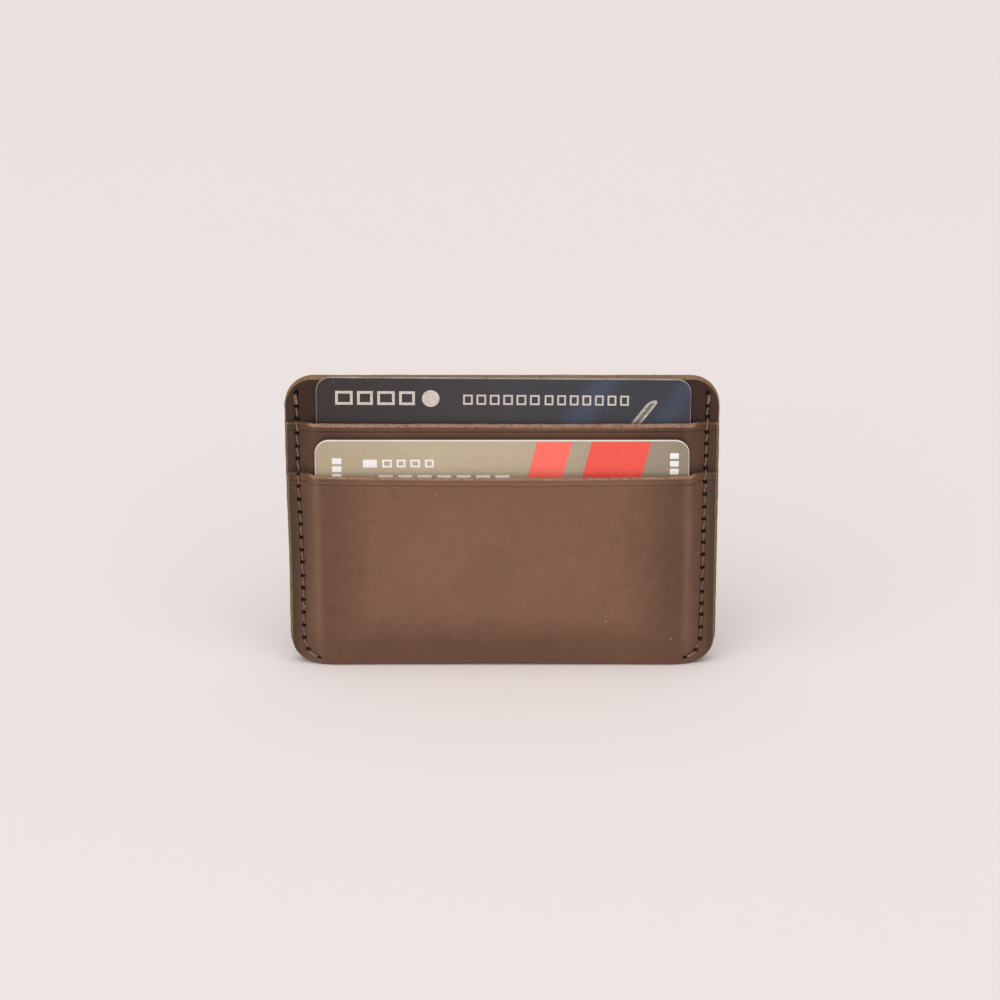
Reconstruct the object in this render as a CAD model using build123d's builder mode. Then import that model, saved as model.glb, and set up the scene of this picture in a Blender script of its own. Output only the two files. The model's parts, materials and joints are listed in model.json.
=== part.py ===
"""Slim leather card wallet with three pockets and two payment cards.

The wallet stands upright on its bottom fold. X runs across it, +Y points to its back and +Z up.
Everything is in millimetres, and the origin is on the ground under the middle of the wallet.
Depths are counted from the flat back face towards the front, so a depth d lies at y = half_depth - d.
"""

from build123d import *
import os
from math import atan2, ceil, cos, radians, sin, sqrt, tan

# Cards: the standard bank card format, and what is laminated into it.
card_width = 85.60
card_height = 53.98
card_thickness = 0.76
card_corner = 3.18
film_thickness = 0.06
inlay_depth = 0.03
chip_width = 13.0
chip_height = 11.8
chip_corner = 1.6
chip_thickness = 0.25
chip_from_left = 15.06
chip_from_top = 23.89
stripe_height = 12.7
stripe_from_top = 4.2
signature_width = 58.0
signature_height = 10.0
signature_from_side = 6.0
signature_gap = 2.6

# Leather and the plan of the pockets.
leather = 1.30
corner_radius = 6.0
fold_radius = 1.0
bend_radius = 1.4
bend_share = 0.95
pocket_room = 2.8
seam_from_bulge = 0.9
seam_margin = 3.25
middle_inset = 0.3
front_inset = 0.6
side_slope = 60.0

# The pocket floors, and how far the mouths lie below the top edge.
front_mouth_drop = 22.1
middle_mouth_drop = 10.4
upper_floor = 14.9
floor_seam_drop = 2.6
back_over_card = 0.12
floor_clearance = 0.05

# How far the pockets stand open over the stacked leather.
card_clearance = 0.10
divider_gape = 0.40
middle_gape = 1.00
front_gape = 1.20

# The upper card leans a little in its pocket.
upper_card_turn = 0.40
upper_card_shift = 0.18

# Seams.
stitch_pitch = 3.05
stitch_top_margin = 4.4
stitch_end_height = 1.9
stitch_arc_radius = 4.0
stitch_arc_sweep = 60.0
hole_radius = 0.50
thread_radius = 0.22
thread_pair_radius = 0.30
thread_clearance = 0.08
thread_sink = 0.02
lock_gap = 0.20
floor_seam_end = 2.0

# Sizes that follow from those above.
foot_x = card_width / 2 + pocket_room
stitch_x = foot_x + seam_from_bulge
half_width = stitch_x + seam_margin
height = upper_floor + card_height + back_over_card
front_mouth = height - front_mouth_drop
middle_mouth = height - middle_mouth_drop
floor_seam = upper_floor - floor_seam_drop
pocket_depth = card_thickness + 2 * card_clearance
lower_floor = leather + floor_clearance
card_corner_reach = card_width / 2 - lower_floor - (2 - sqrt(2)) * card_corner
hollow_pinch = card_corner_reach + 2 * card_clearance * sqrt(2)
outer_pinch = hollow_pinch + leather * sqrt(2)


def line_value(z, low, high):
    """The value at height z on the straight line through two (height, value) points."""
    return low[1] + (high[1] - low[1]) * (z - low[0]) / (high[0] - low[0])


divider_low = (floor_seam, 0.0)
divider_high = (height, divider_gape)
middle_low = (upper_floor, line_value(upper_floor, divider_low, divider_high) + pocket_depth)
middle_high = (
    middle_mouth,
    line_value(middle_mouth, divider_low, divider_high) + pocket_depth + middle_gape,
)
front_low = (0.0, line_value(0.0, middle_low, middle_high) + pocket_depth)
front_high = (
    front_mouth,
    line_value(front_mouth, middle_low, middle_high) + pocket_depth + front_gape,
)
# The two bends beside the cards share the slope between them, which is shortest at the fold.
slope_length = front_low[1] / sin(radians(side_slope))
bend_room = slope_length / (2 * tan(radians(side_slope / 2)))
inner_bend = min(bend_radius, bend_share * bend_room)
total_depth = 4 * leather + front_high[1]
half_depth = total_depth / 2
overrun = 1.0
# An edge counts as upright when this much of its direction is along Z.
upright_share = 0.7


def side_points(depth_and_height):
    """Points of a side view, given as (depth from the back, height)."""
    return [(half_depth - d, z) for d, z in depth_and_height]


def bulge(back, base, stations):
    """A solid from depth back to the bulged face of a panel.

    The face lies at depth base along the seams and stands base + rise deep between them. stations are
    its (height, rise) points from the bottom up, and its sides slope down to the seams.
    """
    peak = max(rise for z, rise in stations)
    bottom, top = stations[0][0], stations[-1][0]
    side_run = peak / tan(radians(side_slope))
    wide = half_width + overrun
    with BuildPart() as form:
        with BuildSketch(Plane.YZ):
            with BuildLine():
                face = [(base + rise, z) for z, rise in stations]
                Polyline(*side_points([(back, bottom), *face, (back, top)]), close=True)
            make_face()
        extrude(amount=wide, both=True)
        with BuildSketch(Plane.XY.offset(bottom)):
            with BuildLine():
                plan = [
                    (-wide, back),
                    (-wide, base),
                    (-foot_x, base),
                    (-foot_x + side_run, base + peak),
                    (foot_x - side_run, base + peak),
                    (foot_x, base),
                    (wide, base),
                    (wide, back),
                ]
                Polyline(*[(x, half_depth - d) for x, d in plan], close=True)
            make_face()
        extrude(amount=top - bottom, mode=Mode.INTERSECT)
    return form.part


def corner_pinch(reach, depth):
    """Both bottom corners in front of a depth, where the seams turn in and press the leather flat.

    They are cut off at 45 degrees, along the lines where |x| - z equals reach.
    """
    far = half_width + overrun
    with BuildPart() as corners:
        with BuildSketch(Plane.XZ.offset(depth - half_depth)):
            with BuildLine():
                low = (reach - overrun, -overrun)
                Polyline(low, (far, far - reach), (far, -overrun), close=True)
            make_face()
            mirror(about=Plane.YZ)
        extrude(amount=total_depth)
    return corners.part


def outline(side_half_width, low, high, depth_from, depth_to, rounded_top):
    """A plate with the wallet's rounded outline, cut off at the heights low and high."""
    with BuildPart() as plate:
        with BuildSketch(Plane.XZ.offset(depth_from - half_depth)):
            with Locations((0, height / 2)):
                RectangleRounded(2 * side_half_width, height, corner_radius)
            if not rounded_top:
                with Locations((0, height * 3 / 4)):
                    Rectangle(2 * side_half_width, height / 2)
            with Locations((0, (low + high) / 2)):
                Rectangle(2 * side_half_width, high - low, mode=Mode.INTERSECT)
        extrude(amount=depth_to - depth_from)
    return plate.part


# ---------------------------------------------------------------- seams

straight_bottom = stitch_end_height + stitch_arc_radius * sin(radians(stitch_arc_sweep))
seam_top = height - stitch_top_margin
straight_length = seam_top - straight_bottom
seam_length = straight_length + stitch_arc_radius * radians(stitch_arc_sweep)
stitch_count = round(seam_length / stitch_pitch)


def seam_point(s):
    """(x, z) of the right-hand seam line at the distance s below its top end."""
    if s <= straight_length:
        return stitch_x, seam_top - s
    turned = (s - straight_length) / stitch_arc_radius
    centre_x = stitch_x - stitch_arc_radius
    return (
        centre_x + stitch_arc_radius * cos(turned),
        straight_bottom - stitch_arc_radius * sin(turned),
    )


side_holes = [seam_point(seam_length * i / stitch_count) for i in range(stitch_count + 1)]
floor_span = 2 * (foot_x - floor_seam_end)
floor_stitches = ceil(floor_span / stitch_pitch)
floor_pitch = floor_span / floor_stitches
floor_holes = [(floor_pitch * i - floor_span / 2, floor_seam) for i in range(floor_stitches + 1)]


def stack_depth(z):
    """Depth of the stacked leather at the seam line at height z."""
    if z > middle_mouth:
        return 2 * leather
    if z > front_mouth:
        return 3 * leather
    return 4 * leather


def in_space(x, depth, z):
    return Vector(x, half_depth - depth, z)


def strand(route, radius):
    """Round rods of one radius along the straight runs of a route, with a ball at each point."""
    with BuildPart() as rods:
        for start, end in zip(route[:-1], route[1:]):
            run = end - start
            with BuildSketch(Plane(origin=start, z_dir=run)):
                Circle(radius)
            extrude(amount=run.length)
        with Locations(*route):
            Sphere(radius)
    return rods.part


def surface_route(holes, sink, front):
    """The thread's way over the leather from hole to hole, stepping down over each pocket mouth."""
    edges = [front_mouth, middle_mouth]
    route = []
    for (x0, z0), (x1, z1) in zip(holes[:-1], holes[1:]):
        route.append(in_space(x0, stack_depth(z0) - sink if front else sink, z0))
        for edge in edges:
            if front and (z0 - edge) * (z1 - edge) < 0:
                lip_z = edge + sink + thread_clearance
                share = (lip_z - z0) / (z1 - z0)
                lip_x = x0 + (x1 - x0) * share
                upper, lower = stack_depth(edge + sink) - sink, stack_depth(edge - sink) - sink
                route.append(in_space(lip_x, upper, lip_z))
                route.append(in_space(lip_x, lower, lip_z))
    x, z = holes[-1]
    route.append(in_space(x, stack_depth(z) - sink if front else sink, z))
    return route


def leg(x, z, depth_from, depth_to):
    """The pair of strands inside one stitch hole."""
    start = in_space(x, depth_from, z)
    end = in_space(x, depth_to, z)
    with BuildPart() as rod:
        with BuildSketch(Plane(origin=start, z_dir=end - start)):
            Circle(thread_pair_radius)
        extrude(amount=(end - start).length)
    return rod.part


def hole_group(holes, depth_from, depth_to):
    """One drilled hole for each stitch, as solids to cut with."""
    with BuildPart() as drills:
        for x, z in holes:
            with BuildSketch(Plane(origin=in_space(x, depth_from, z), z_dir=(0, -1, 0))):
                Circle(hole_radius)
            extrude(amount=depth_to - depth_from)
    return drills.part


centre_sink = thread_radius + thread_sink
channel_radius = thread_radius + thread_clearance
needle_route = surface_route(side_holes, centre_sink, True)
bobbin_route = surface_route(side_holes, centre_sink, False)

with BuildPart() as right_needle:
    add(strand(needle_route, thread_radius))
    for x, z in side_holes:
        stack = stack_depth(z)
        add(leg(x, z, stack - centre_sink, stack / 2 + lock_gap / 2))

with BuildPart() as right_bobbin:
    add(strand(bobbin_route, thread_radius))
    for x, z in side_holes:
        add(leg(x, z, centre_sink, stack_depth(z) / 2 - lock_gap / 2))

with BuildPart() as right_cutters:
    add(strand(needle_route, channel_radius))
    add(strand(bobbin_route, channel_radius))
    add(hole_group(side_holes, -overrun, total_depth))

with BuildPart() as side_cutters:
    add(right_cutters.part)
    mirror(right_cutters.part, about=Plane.YZ)

# The floor seam closes the upper card pocket: it joins the middle panel to the divider.
floor_front = 3 * leather
floor_back = leather
floor_middle = (floor_front + floor_back) / 2


def floor_route(depth):
    return [in_space(x, depth, z) for x, z in (floor_holes[0], floor_holes[-1])]


with BuildPart() as floor_needle:
    add(strand(floor_route(floor_front - centre_sink), thread_radius))
    for x, z in floor_holes:
        add(leg(x, z, floor_front - centre_sink, floor_middle + lock_gap / 2))

with BuildPart() as floor_bobbin:
    add(strand(floor_route(floor_back + centre_sink), thread_radius))
    for x, z in floor_holes:
        add(leg(x, z, floor_back + centre_sink, floor_middle - lock_gap / 2))

with BuildPart() as floor_cutters:
    add(strand(floor_route(floor_front - centre_sink), channel_radius))
    add(strand(floor_route(floor_back + centre_sink), channel_radius))
    add(hole_group(floor_holes, floor_back, floor_front))

# ---------------------------------------------------------------- leather

wrap_stations = [front_low, front_high]
hollow_stations = [
    (leather, line_value(leather, front_low, front_high)),
    (front_mouth + overrun, line_value(front_mouth + overrun, front_low, front_high)),
]

with BuildPart() as wrap_hollow:
    add(bulge(leather, 3 * leather, hollow_stations))
    add(corner_pinch(hollow_pinch, 3 * leather), mode=Mode.SUBTRACT)

# One piece of leather: the front pocket, the bottom fold it stands on, and the full-height back.
with BuildPart() as outer_wrap:
    add(bulge(0, 4 * leather, wrap_stations))
    upright = outer_wrap.edges().filter_by(lambda e: abs(e.tangent_at(0.5).Z) > upright_share)
    inner_upright = upright.filter_by(lambda e: abs(e.center().X) < half_width)
    fillet(inner_upright, radius=inner_bend)
    bottom_edges = outer_wrap.faces().sort_by(Axis.Z)[0].edges()
    fillet(bottom_edges.filter_by(lambda e: abs(e.center().X) < half_width), radius=fold_radius)
    add(corner_pinch(outer_pinch, 4 * leather), mode=Mode.SUBTRACT)
    add(outline(half_width - front_inset, 0, height, 0, total_depth, True), mode=Mode.INTERSECT)
    add(outline(half_width, fold_radius, height, 0, leather, True))
    add(wrap_hollow.part, mode=Mode.SUBTRACT)
    add(side_cutters.part, mode=Mode.SUBTRACT)

# The panel between the two card pockets, sewn to the divider along the floor seam.
with BuildPart() as middle_pocket:
    stations = [(lower_floor, 0.0), divider_low, middle_low, middle_high]
    add(bulge(0, 3 * leather, stations))
    add(bulge(-overrun, 2 * leather, stations), mode=Mode.SUBTRACT)
    add(
        outline(half_width - middle_inset, lower_floor, middle_mouth, 0, total_depth, False),
        mode=Mode.INTERSECT,
    )
    add(side_cutters.part, mode=Mode.SUBTRACT)
    add(floor_cutters.part, mode=Mode.SUBTRACT)

# The full-height panel in front of the centre pocket.
with BuildPart() as divider:
    stations = [(lower_floor, 0.0), divider_low, divider_high]
    add(bulge(0, 2 * leather, stations))
    add(bulge(-overrun, leather, stations), mode=Mode.SUBTRACT)
    add(outline(half_width, lower_floor, height, 0, total_depth, True), mode=Mode.INTERSECT)
    add(side_cutters.part, mode=Mode.SUBTRACT)
    add(floor_cutters.part, mode=Mode.SUBTRACT)

# ---------------------------------------------------------------- cards


def card_plane(floor, base, low, high, turn, shift):
    """The plane of a card's back face, with its origin at the middle of the card.

    The card leans with the leather behind it, whose face runs through the points low and high.
    """
    lean = atan2(high[1] - low[1], high[0] - low[0])
    turned_half = card_height / 2 * cos(radians(turn)) + card_width / 2 * sin(radians(turn))
    centre_z = floor + turned_half * cos(lean)
    centre_depth = base + line_value(centre_z, low, high) + card_clearance
    along = Vector(1, 0, 0) * cos(radians(turn))
    down = Vector(0, sin(lean), -cos(lean)) * sin(radians(turn))
    return Plane(
        origin=in_space(shift, centre_depth, centre_z),
        x_dir=along + down,
        z_dir=(0, -cos(lean), -sin(lean)),
    )


upper_plane = card_plane(
    upper_floor + floor_clearance,
    2 * leather,
    divider_low,
    divider_high,
    upper_card_turn,
    upper_card_shift,
)
lower_plane = card_plane(lower_floor + floor_clearance, 3 * leather, middle_low, middle_high, 0, 0)


def card_layer(plane, start, thickness):
    """One full-size layer of a card."""
    with BuildPart() as layer:
        with BuildSketch(plane.offset(start)):
            RectangleRounded(card_width, card_height, card_corner)
        extrude(amount=thickness)
    return layer.part


def chip_plate(plane):
    """The contact plate, flush with the front of the card."""
    with BuildPart() as plate:
        with BuildSketch(plane.offset(card_thickness - chip_thickness)):
            with Locations((chip_from_left - card_width / 2, card_height / 2 - chip_from_top)):
                RectangleRounded(chip_width, chip_height, chip_corner)
        extrude(amount=chip_thickness)
    return plate.part


def stripe_band(plane):
    """The magnetic stripe, pressed into the back film from side to side."""
    with BuildPart() as band:
        with BuildSketch(plane):
            with Locations((0, card_height / 2 - stripe_from_top - stripe_height / 2)):
                Rectangle(card_width, stripe_height)
            RectangleRounded(card_width, card_height, card_corner, mode=Mode.INTERSECT)
        extrude(amount=inlay_depth)
    return band.part


def signature_strip(plane):
    """The writable panel under the stripe on the back."""
    across = card_width / 2 - signature_from_side - signature_width / 2
    top = card_height / 2 - stripe_from_top - stripe_height - signature_gap
    with BuildPart() as strip:
        with BuildSketch(plane):
            with Locations((across, top - signature_height / 2)):
                Rectangle(signature_width, signature_height)
        extrude(amount=inlay_depth)
    return strip.part


def card_pieces(name, plane):
    """The six pieces of one payment card, by node name."""
    with BuildPart() as core:
        add(card_layer(plane, film_thickness, card_thickness - 2 * film_thickness))
        add(chip_plate(plane), mode=Mode.SUBTRACT)
    with BuildPart() as front_film:
        add(card_layer(plane, card_thickness - film_thickness, film_thickness))
        add(chip_plate(plane), mode=Mode.SUBTRACT)
    with BuildPart() as back_film:
        add(card_layer(plane, 0, film_thickness))
        add(stripe_band(plane), mode=Mode.SUBTRACT)
        add(signature_strip(plane), mode=Mode.SUBTRACT)
    return {
        f"{name}_core": core.part,
        f"{name}_front_film": front_film.part,
        f"{name}_back_film": back_film.part,
        f"{name}_chip": chip_plate(plane),
        f"{name}_magnetic_stripe": stripe_band(plane),
        f"{name}_signature_panel": signature_strip(plane),
    }


# ---------------------------------------------------------------- files

pieces = {
    "outer_wrap": outer_wrap.part,
    "middle_pocket": middle_pocket.part,
    "divider": divider.part,
    "right_seam_needle_thread": right_needle.part,
    "right_seam_bobbin_thread": right_bobbin.part,
    "left_seam_needle_thread": right_needle.part.mirror(Plane.YZ),
    "left_seam_bobbin_thread": right_bobbin.part.mirror(Plane.YZ),
    "floor_seam_needle_thread": floor_needle.part,
    "floor_seam_bobbin_thread": floor_bobbin.part,
    **card_pieces("upper_card", upper_plane),
    **card_pieces("lower_card", lower_plane),
}

os.makedirs("parts", exist_ok=True)
for name, piece in pieces.items():
    piece.label = name
    export_step(piece, f"parts/{name}.step")
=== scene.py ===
"""Slim leather card wallet: folded and stitched leather, lockstitch thread and two printed payment cards.

Shapes are worked out in millimetres as whole arrays. Depth is counted from the wallet's flat back
towards its front, so a depth d lies at y = back_y - d.
"""

import json
import math

import bpy
import numpy as np
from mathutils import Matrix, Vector


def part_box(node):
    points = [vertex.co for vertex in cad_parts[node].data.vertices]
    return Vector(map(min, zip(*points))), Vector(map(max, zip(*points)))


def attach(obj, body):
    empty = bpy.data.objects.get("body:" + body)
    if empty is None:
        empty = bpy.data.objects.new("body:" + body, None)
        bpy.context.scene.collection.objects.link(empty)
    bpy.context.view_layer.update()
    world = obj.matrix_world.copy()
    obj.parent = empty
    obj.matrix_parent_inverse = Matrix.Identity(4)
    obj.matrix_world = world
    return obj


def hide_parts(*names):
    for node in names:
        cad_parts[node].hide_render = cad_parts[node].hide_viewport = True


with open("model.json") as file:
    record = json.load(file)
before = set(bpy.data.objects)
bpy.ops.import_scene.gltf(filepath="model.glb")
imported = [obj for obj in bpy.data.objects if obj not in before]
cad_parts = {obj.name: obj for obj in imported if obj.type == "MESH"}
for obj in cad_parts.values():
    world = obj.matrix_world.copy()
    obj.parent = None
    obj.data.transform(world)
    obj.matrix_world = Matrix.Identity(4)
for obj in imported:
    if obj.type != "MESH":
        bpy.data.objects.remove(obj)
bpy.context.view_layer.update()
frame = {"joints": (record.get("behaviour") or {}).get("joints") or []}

MM = 0.001


def box_mm(node):
    """A node's lowest and highest corners in millimetres."""
    low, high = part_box(node)
    return np.array(low) / MM, np.array(high) / MM


wrap_low, wrap_high = box_mm("outer_wrap")
middle_low, middle_high = box_mm("middle_pocket")
divider_low, divider_high = box_mm("divider")
seam_high = box_mm("right_seam_needle_thread")[1]

# The wallet's own sizes.
back_y = wrap_high[1]
height = wrap_high[2]
leather = back_y - divider_high[1]
back_half = wrap_high[0]
middle_half = middle_high[0]
front_half = back_half - 0.45
side_lean = 0.45
corner = 6.7
front_mouth = 46.9
middle_mouth = middle_high[2]
panel_floor = middle_low[2]
floor_seam = 12.3
upper_floor = 14.9
foot = 45.9
card_edge = 42.8

# How far each panel stands over the stacked seams between them.
front_rise_low = 1.5
front_rise_edge = 2.95
front_crown = (back_y - wrap_low[1]) - 4 * leather - front_rise_edge
middle_rise_low = 0.98
middle_rise_high = 1.42
divider_rise_high = (back_y - divider_low[1]) - 2 * leather

# Cut edges, creases and stitches.
rim = 0.36
crease_drop = 1.85
groove_depth = 0.26
half_stitch = 0.22
seam_x = seam_high[0] - half_stitch
seam_counts = {-1: 22, 1: 23}
floor_count = 29
thread_radius = 0.18
lobe_height = 0.16
lobe_turn = 1.1
rope_sides = 12
thread_dip = 1.2
fibre_half = 45.0
fibre_radius = 0.035
seam_top = 65.3
seam_end = 1.75
seam_arc = 4.6
seam_sweep = math.radians(75)
hole_radius = 0.5
pit_depth = 1.05
fold_bow = 0.42
front_bend = 1.2
back_bend = 1.4


# -------- array helpers


def smooth(t):
    """A ramp from 0 to 1 that starts and ends level."""
    t = np.clip(t, 0, 1)
    return t * t * (3 - 2 * t)


def hill(distance, width):
    """A bell of height 1: exp(-(distance / width)^2)."""
    return np.exp(-((distance / width) ** 2))


def arch(x, half):
    """1 in the middle, falling as a parabola to 0 at half."""
    return (1 - (x / half) ** 2).clip(0)


def unit(v):
    return v / np.maximum(np.linalg.norm(v, axis=-1, keepdims=True), 1e-12)


def graded(*bands):
    """Places along a line, given as (start, stop, step) bands that follow each other."""
    parts = []
    for start, stop, step in bands:
        count = max(1, math.ceil(abs(stop - start) / step))
        parts.append(np.linspace(start, stop, count + 1)[:-1])
    return np.append(np.concatenate(parts), bands[-1][1])


def ripple(x, z, seed, size):
    """Slow unevenness from -1 to 1: the mean of a few sine waves that cross at odd angles."""
    waves = np.random.default_rng(seed)
    total = np.zeros(np.broadcast(x, z).shape)
    for _ in range(7):
        angle, phase, stretch = waves.random(3) * (2 * math.pi, 2 * math.pi, 1.0)
        length = size * (0.6 + stretch)
        along = x * math.cos(angle) + z * math.sin(angle)
        total = total + np.sin(along * 2 * math.pi / length + phase)
    return total / 7


def in_space(x, depth, z):
    """Points from their place across, their depth from the back and their height."""
    x, depth, z = np.broadcast_arrays(x, depth, z)
    return np.stack([x, back_y - depth, z], axis=-1)


def leaned(x, z):
    """The left side stands in by half a millimetre low down: the place across, moved by up to that."""
    return x + side_lean * smooth((54 - z) / 34) * np.clip(-x / 48, 0, 1) ** 3


def grid_quads(rows, cols, start=0, turned=False, wrap=False):
    """Four-sided faces of a grid of rows by cols points; wrap joins the last column to the first."""
    i = np.arange(rows - 1)[:, None]
    j = np.arange(cols if wrap else cols - 1)[None, :]
    k = (j + 1) % cols
    quads = np.stack([i * cols + j, (i + 1) * cols + j, (i + 1) * cols + k, i * cols + k], axis=-1)
    quads = quads.reshape(-1, 4) + start
    return quads[:, ::-1] if turned else quads


def grid_border(rows, cols):
    """The point numbers round the edge of a grid, once."""
    index = np.arange(rows * cols).reshape(rows, cols)
    return np.concatenate([index[0, :-1], index[:-1, -1], index[-1, :0:-1], index[:0:-1, 0]])


def both_faces(rows, cols):
    """Faces of two equal grids that follow each other in the points: the first, and the second turned."""
    return np.concatenate([grid_quads(rows, cols), grid_quads(rows, cols, rows * cols, turned=True)])


def tube_faces(points, rings, around):
    """Faces of a closed tube of rings that follow each other in the points, with a cap at each end."""
    last = (rings - 1) * around
    caps = [range(around - 1, -1, -1), range(last, last + around)]
    return outward(points, grid_quads(rings, around, wrap=True), caps)


def outward(points, quads, caps=()):
    """A closed shape's faces as lists, all turned over if the volume inside them comes out negative."""
    p = (points - points.mean(axis=0))[quads]
    volume = (p[:, 0] * (np.cross(p[:, 1], p[:, 2]) + np.cross(p[:, 2], p[:, 3]))).sum()
    faces = quads.tolist() + [list(cap) for cap in caps]
    return faces if volume > 0 else [face[::-1] for face in faces]


def linked(name, data):
    """A new object in the scene."""
    made = bpy.data.objects.new(name, data)
    bpy.context.scene.collection.objects.link(made)
    return made


def put_piece(name, body, nodes, points, faces, material, marks=None, uv=None, flat=False):
    """A mesh object from millimetre points, riding on a body and standing for CAD nodes."""
    mesh = bpy.data.meshes.new(name)
    mesh.from_pydata((points * MM).tolist(), [], faces)
    mesh.update()
    for mark, values in (marks or {}).items():
        layer = mesh.attributes.new(mark, "FLOAT", "POINT")
        layer.data.foreach_set("value", np.asarray(values, np.float32))
    if uv is not None:
        corners = np.zeros(len(mesh.loops), np.int32)
        mesh.loops.foreach_get("vertex_index", corners)
        layer = mesh.uv_layers.new(name="face")
        layer.data.foreach_set("uv", uv[corners].astype(np.float32).ravel())
    mesh.polygons.foreach_set("use_smooth", np.full(len(mesh.polygons), not flat))
    mesh.materials.append(material)
    piece = linked(name, mesh)
    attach(piece, body)
    if nodes:
        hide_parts(*nodes)
    return piece


# -------- materials


class Finish:
    """A material's node tree, built with short calls. Sockets are passed from one call to the next.

    Patterns lie on the piece's own coordinates in metres, and a stretch scales those along each axis.
    """

    def __init__(self, name):
        self.material = bpy.data.materials.new(name)
        self.material.use_nodes = True
        self.tree = self.material.node_tree
        self.shader = self.tree.nodes["Principled BSDF"]
        self.at = self.add("ShaderNodeTexCoord").outputs["Object"]

    def add(self, kind, inputs=(), **settings):
        made = self.tree.nodes.new(kind)
        for key, value in settings.items():
            setattr(made, key, value)
        for key, value in dict(inputs).items():
            self.feed(made.inputs[key], value)
        return made

    def feed(self, socket, value):
        if isinstance(value, bpy.types.NodeSocket):
            self.tree.links.new(value, socket)
        elif isinstance(value, tuple) and len(value) == 3 and socket.type == "RGBA":
            socket.default_value = (*value, 1.0)
        else:
            socket.default_value = value

    def across_and_up(self):
        """The place on a card's face, each from 0 to 1."""
        face = self.add("ShaderNodeUVMap", uv_map="face").outputs["UV"]
        split = self.add("ShaderNodeSeparateXYZ", {"Vector": face})
        return split.outputs["X"], split.outputs["Y"]

    def mark(self, name):
        """A value stored on the piece's points."""
        return self.add("ShaderNodeAttribute", attribute_name=name).outputs["Fac"]

    def noise(self, scale, detail=3.0, rough=0.55, warp=0.0, stretch=None):
        at = self.at
        if stretch:
            at = self.add("ShaderNodeMapping", {"Vector": at, "Scale": stretch}).outputs["Vector"]
        grain = {"Detail": detail, "Roughness": rough, "Distortion": warp}
        return self.add("ShaderNodeTexNoise", {"Vector": at, "Scale": scale, **grain}).outputs["Fac"]

    def cells(self, scale, feature="F1", output="Distance"):
        made = self.add("ShaderNodeTexVoronoi", {"Vector": self.at, "Scale": scale}, feature=feature)
        return made.outputs[output]

    def math(self, operation, a, b=0.0):
        return self.add("ShaderNodeMath", {0: a, 1: b}, operation=operation).outputs[0]

    def between(self, value, low, high, out_low=0.0, out_high=1.0):
        """The value carried from one range to another, smoothly and held at the ends."""
        ranges = {"From Min": low, "From Max": high, "To Min": out_low, "To Max": out_high}
        made = self.add("ShaderNodeMapRange", {"Value": value, **ranges}, interpolation_type="SMOOTHSTEP")
        return made.outputs[0]

    def ramp(self, value, *stops):
        made = self.add("ShaderNodeValToRGB", {"Fac": value})
        band = made.color_ramp
        while len(band.elements) < len(stops):
            band.elements.new(0.5)
        for element, (place, colour) in zip(band.elements, stops):
            element.position = place
            element.color = (*colour, 1.0)
        return made.outputs["Color"]

    def blend(self, share, a, b, how="MIX"):
        made = self.add("ShaderNodeMix", data_type="RGBA", blend_type=how)
        self.feed(made.inputs["Factor"], share)
        self.feed(made.inputs["A"], a)
        self.feed(made.inputs["B"], b)
        return made.outputs["Result"]

    def bump(self, height_value, strength, distance, over=None):
        settings = {"Height": height_value, "Strength": strength, "Distance": distance}
        if over is not None:
            settings["Normal"] = over
        return self.add("ShaderNodeBump", settings).outputs["Normal"]

    def finish(self, **sockets):
        names = {"colour": "Base Color", "rough": "Roughness", "normal": "Normal", "metal": "Metallic",
                 "coat": "Coat Weight", "coat_rough": "Coat Roughness", "sheen": "Sheen Weight",
                 "sheen_rough": "Sheen Roughness", "specular": "Specular IOR Level"}
        for key, value in sockets.items():
            self.feed(self.shader.inputs[names[key]], value)
        return self.material


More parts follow.
